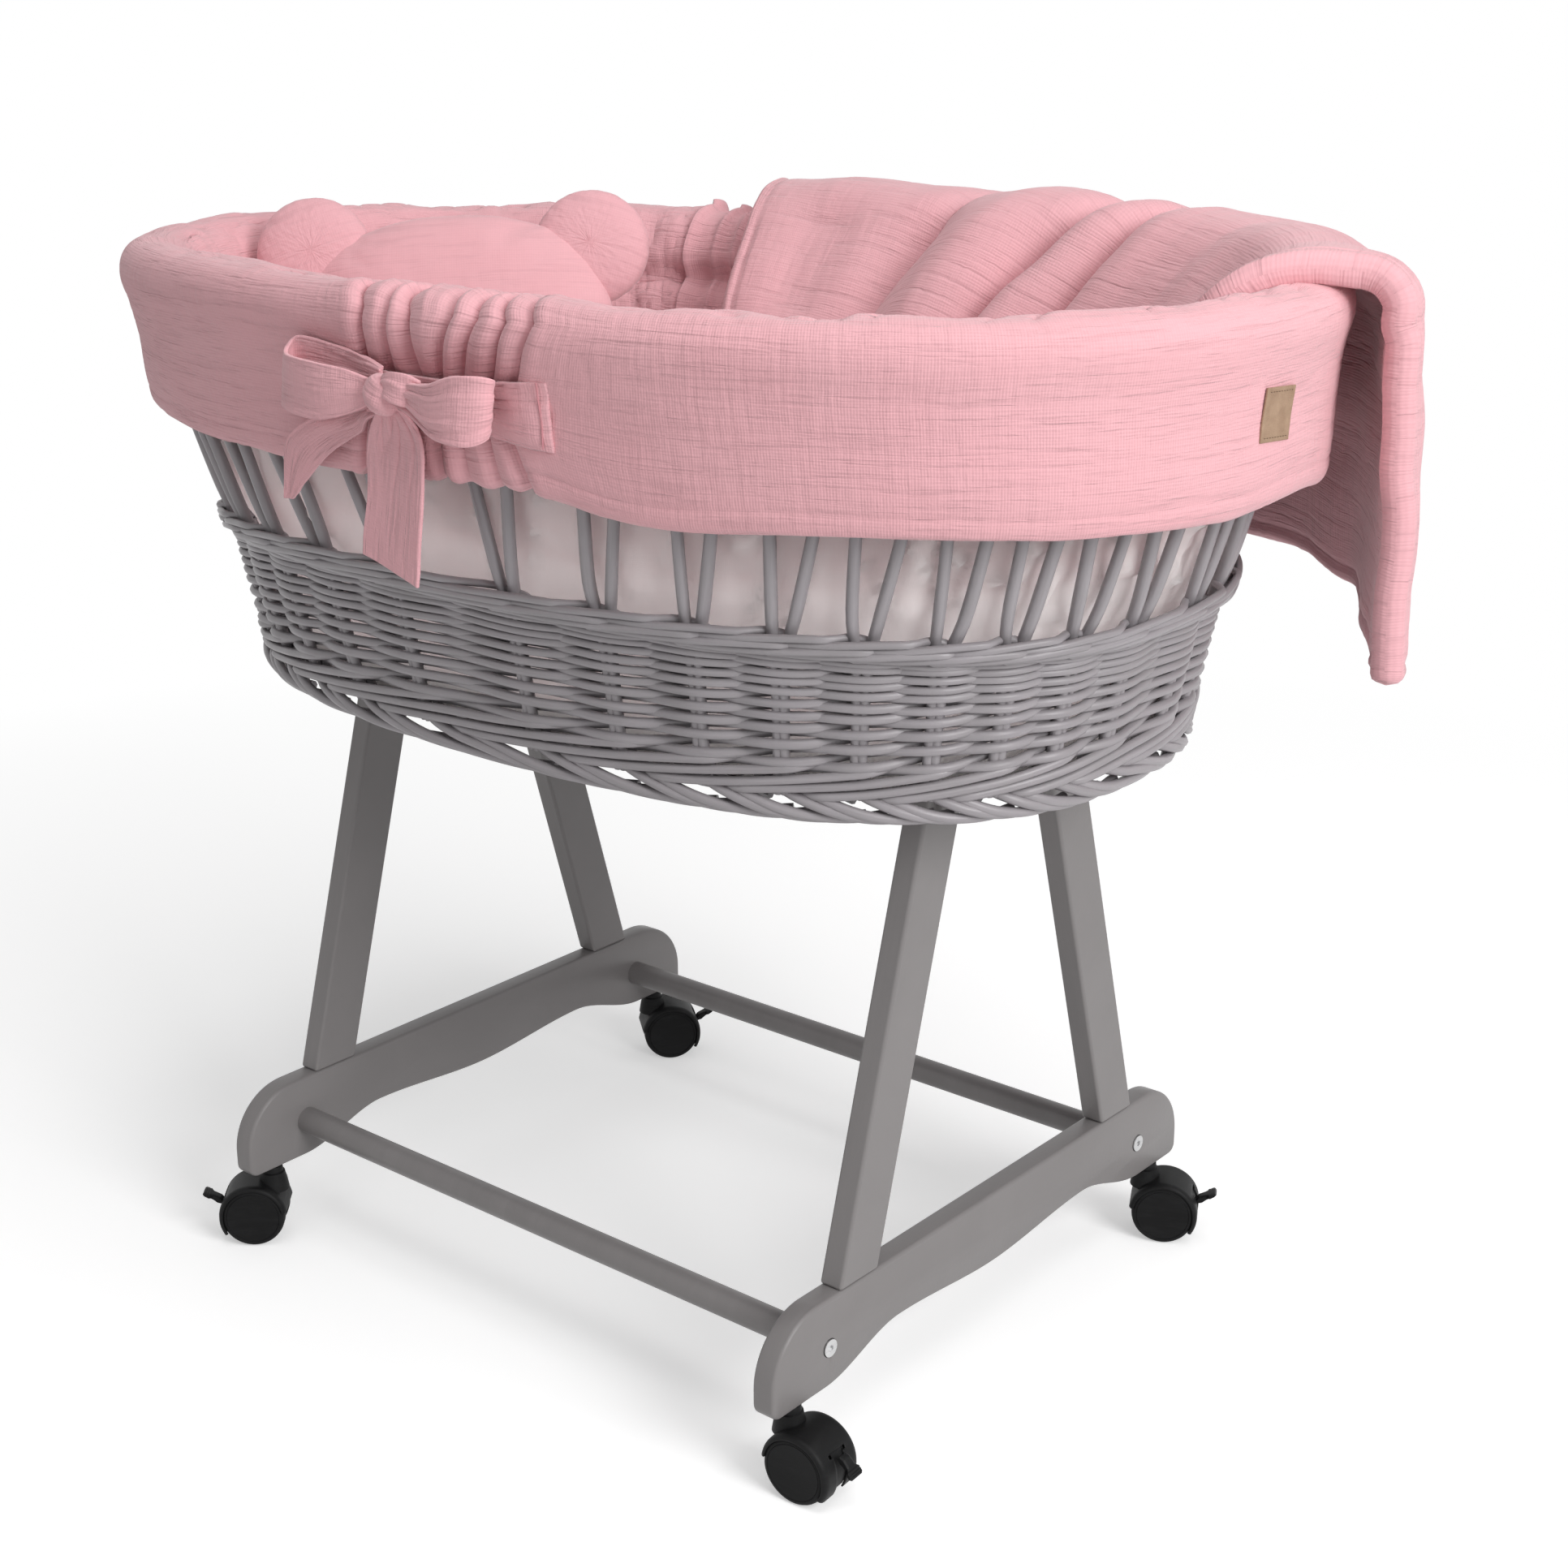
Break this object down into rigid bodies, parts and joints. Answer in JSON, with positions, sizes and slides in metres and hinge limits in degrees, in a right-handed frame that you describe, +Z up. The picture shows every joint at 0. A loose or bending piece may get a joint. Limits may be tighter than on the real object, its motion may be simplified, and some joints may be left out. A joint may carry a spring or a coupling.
{
  "type": "bassinet on stand",
  "caption": "Oval wicker bassinet with a padded muslin cover, bow, pillow and quilt, lifted off a grey wooden stand that rolls on braked twin-wheel casters.",
  "frame": {"origin": "on the floor under the middle of the stand, which is also the middle of the whole footprint to within a few millimetres", "axes": "+X runs along the bassinet from the head end (pillow) to the foot end (quilt), -Y is the side with the bow, +Z is up"},
  "size_m": [0.9294, 0.6357, 0.777],
  "materials": {
    "painted_wood": "satin warm grey paint on smooth wood",
    "painted_wicker": "semi-gloss grey paint on willow rods",
    "black_plastic": "fine-textured black moulded plastic",
    "steel": "zinc-plated steel",
    "pink_muslin": "crinkled double-gauze cotton, matt",
    "white_cotton": "plain white cotton",
    "tan_leather": "matt tan leather, blank and stitched"
  },
  "bodies": {
    "stand": {"left_rail": "painted_wood", "left_top_rail": "painted_wood", "leg_front_left": "painted_wood", "screw_front_left": "steel", "leg_back_left": "painted_wood", "screw_back_left": "steel", "right_rail": "painted_wood", "right_top_rail": "painted_wood", "leg_front_right": "painted_wood", "screw_front_right": "steel", "leg_back_right": "painted_wood", "screw_back_right": "steel", "front_dowel": "painted_wood", "back_dowel": "painted_wood", "caster_stem_front_left": "steel", "caster_stem_back_left": "steel", "caster_stem_front_right": "steel", "caster_stem_back_right": "steel"},
    "basket": {"foot_border": "painted_wicker", "wicker_wall": "painted_wicker", "waist_band": "painted_wicker", "base_board": "painted_wicker", "stakes_and_border": "painted_wicker", "lining": "white_cotton", "mattress": "white_cotton", "cover_head_end": "pink_muslin", "cover_foot_end": "pink_muslin", "front_gather": "pink_muslin", "back_gather": "pink_muslin", "bear_pillow": "pink_muslin", "quilt": "pink_muslin", "bow_band": "pink_muslin", "bow_loop_left": "pink_muslin", "bow_loop_right": "pink_muslin", "bow_knot": "pink_muslin", "bow_tail_left": "pink_muslin", "bow_tail_right": "pink_muslin", "side_label": "tan_leather"},
    "swivel_front_left": {"caster_hood_front_left": "black_plastic"},
    "wheels_front_left": {"caster_axle_front_left": "steel", "caster_wheel_a_front_left": "black_plastic", "caster_wheel_b_front_left": "black_plastic"},
    "brake_front_left": {"brake_lever_front_left": "black_plastic"},
    "swivel_back_left": {"caster_hood_back_left": "black_plastic"},
    "wheels_back_left": {"caster_axle_back_left": "steel", "caster_wheel_a_back_left": "black_plastic", "caster_wheel_b_back_left": "black_plastic"},
    "brake_back_left": {"brake_lever_back_left": "black_plastic"},
    "swivel_front_right": {"caster_hood_front_right": "black_plastic"},
    "wheels_front_right": {"caster_axle_front_right": "steel", "caster_wheel_a_front_right": "black_plastic", "caster_wheel_b_front_right": "black_plastic"},
    "brake_front_right": {"brake_lever_front_right": "black_plastic"},
    "swivel_back_right": {"caster_hood_back_right": "black_plastic"},
    "wheels_back_right": {"caster_axle_back_right": "steel", "caster_wheel_a_back_right": "black_plastic", "caster_wheel_b_back_right": "black_plastic"},
    "brake_back_right": {"brake_lever_back_right": "black_plastic"}
  },
  "joints": [
    {"name": "basket_lift", "type": "slide", "parent": "stand", "child": "basket", "axis": [0, 0, 1], "range_m": [0, 0.3]},
    {"name": "swivel_turn_front_left", "type": "hinge", "parent": "stand", "child": "swivel_front_left", "pos_m": [-0.259, -0.216, 0.05], "axis": [0, 0, 1], "continuous": true},
    {"name": "wheel_spin_front_left", "type": "hinge", "parent": "swivel_front_left", "child": "wheels_front_left", "pos_m": [-0.27015, -0.22604, 0.024], "axis": [0.6691, -0.7431, 0], "continuous": true},
    {"name": "brake_press_front_left", "type": "hinge", "parent": "swivel_front_left", "child": "brake_front_left", "pos_m": [-0.29199, -0.2457, 0.03355], "axis": [0.6691, -0.7431, 0], "range_deg": [0, 75]},
    {"name": "swivel_turn_back_left", "type": "hinge", "parent": "stand", "child": "swivel_back_left", "pos_m": [-0.259, 0.216, 0.05], "axis": [0, 0, 1], "continuous": true},
    {"name": "wheel_spin_back_left", "type": "hinge", "parent": "swivel_back_left", "child": "wheels_back_left", "pos_m": [-0.24936, 0.22749, 0.024], "axis": [-0.766, 0.6428, 0], "continuous": true},
    {"name": "brake_press_back_left", "type": "hinge", "parent": "swivel_back_left", "child": "brake_back_left", "pos_m": [-0.23047, 0.25, 0.03355], "axis": [-0.766, 0.6428, 0], "range_deg": [0, 75]},
    {"name": "swivel_turn_front_right", "type": "hinge", "parent": "stand", "child": "swivel_front_right", "pos_m": [0.259, -0.216, 0.05], "axis": [0, 0, 1], "continuous": true},
    {"name": "wheel_spin_front_right", "type": "hinge", "parent": "swivel_front_right", "child": "wheels_front_right", "pos_m": [0.27396, -0.21495, 0.024], "axis": [-0.0698, 0.9976, 0], "continuous": true},
    {"name": "brake_press_front_right", "type": "hinge", "parent": "swivel_front_right", "child": "brake_front_right", "pos_m": [0.30328, -0.2129, 0.03355], "axis": [-0.0698, 0.9976, 0], "range_deg": [-75, 0]},
    {"name": "swivel_turn_back_right", "type": "hinge", "parent": "stand", "child": "swivel_back_right", "pos_m": [0.259, 0.216, 0.05], "axis": [0, 0, 1], "continuous": true},
    {"name": "wheel_spin_back_right", "type": "hinge", "parent": "swivel_back_right", "child": "wheels_back_right", "pos_m": [0.27224, 0.22304, 0.024], "axis": [-0.4695, 0.8829, 0], "continuous": true},
    {"name": "brake_press_back_right", "type": "hinge", "parent": "swivel_back_right", "child": "brake_back_right", "pos_m": [0.29819, 0.23684, 0.03355], "axis": [-0.4695, 0.8829, 0], "range_deg": [0, 75]}
  ]
}
